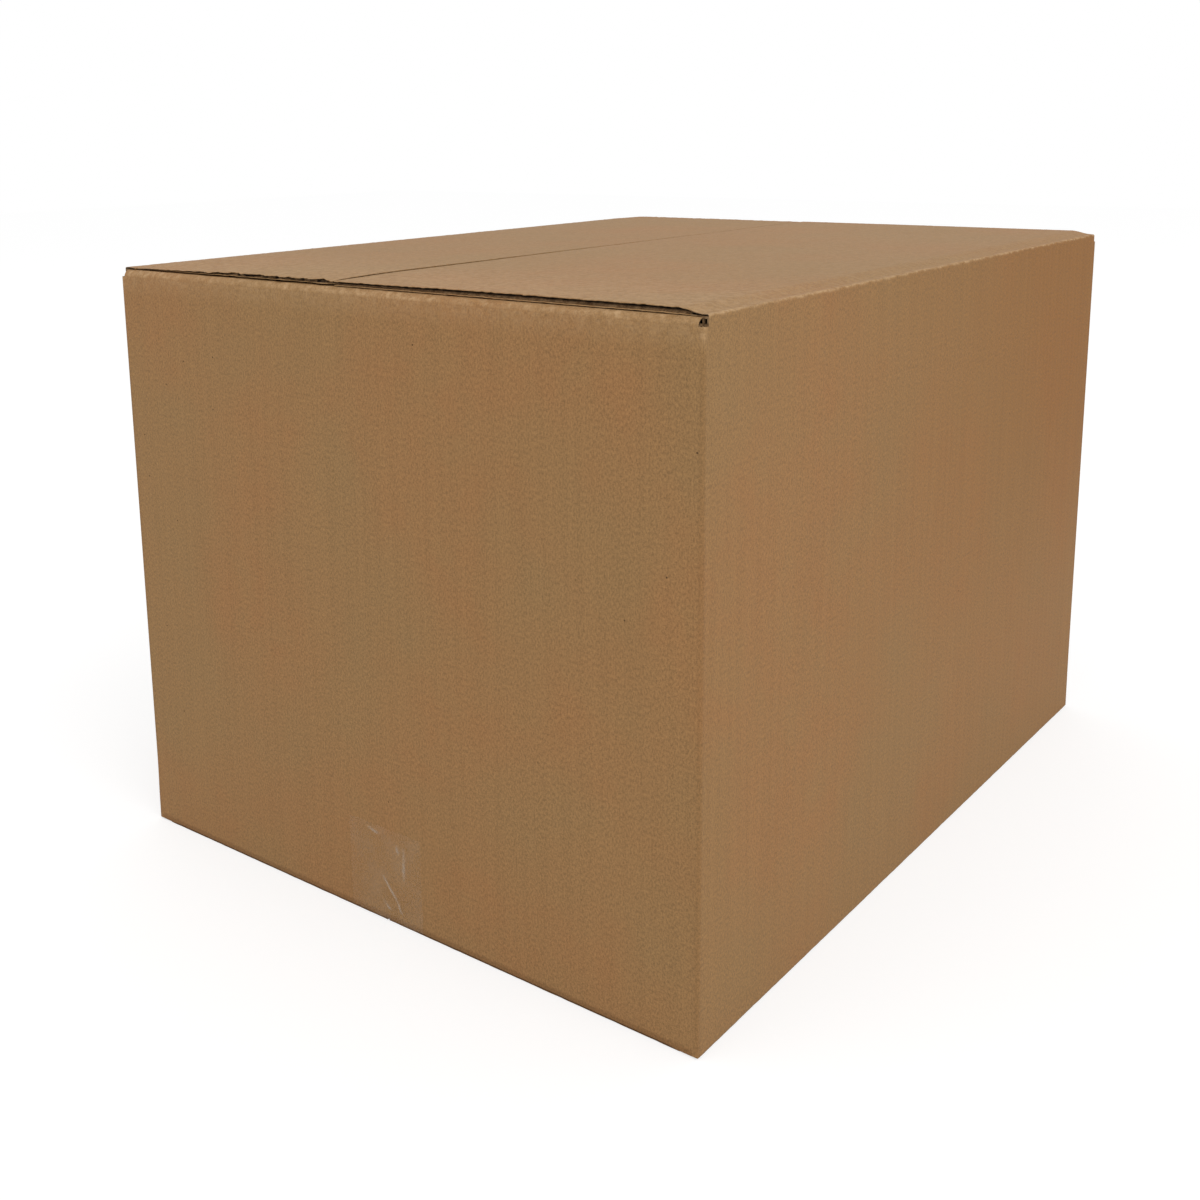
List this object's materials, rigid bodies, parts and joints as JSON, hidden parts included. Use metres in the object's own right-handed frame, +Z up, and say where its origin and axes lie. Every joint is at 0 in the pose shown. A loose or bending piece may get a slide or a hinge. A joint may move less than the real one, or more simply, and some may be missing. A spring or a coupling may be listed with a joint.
{
  "type": "closed cardboard box",
  "caption": "Closed slotted carton of brown corrugated board with two outer top flaps that swing open and a clear tape over the bottom seam.",
  "frame": {"origin": "centre of the base, on the surface the box stands on", "axes": "+X along the long panels, +Y across the box to the back long panel, +Z up"},
  "size_m": [0.4632, 0.3616, 0.3172],
  "materials": {
    "kraft_board": "matte",
    "fluted_board": "matte",
    "clear_tape": "gloss"
  },
  "bodies": {
    "box": {"carton": "kraft_board", "bottom_tape": "clear_tape"},
    "front_flap": {"front_flap": "fluted_board"},
    "back_flap": {"back_flap": "fluted_board"}
  },
  "joints": [
    {"name": "front_flap_fold", "type": "hinge", "parent": "box", "child": "front_flap", "pos_m": [0, -0.1808, 0.3152], "axis": [1, 0, 0], "range_deg": [0, 250]},
    {"name": "back_flap_fold", "type": "hinge", "parent": "box", "child": "back_flap", "pos_m": [0, 0.1808, 0.3152], "axis": [-1, 0, 0], "range_deg": [0, 250]}
  ]
}
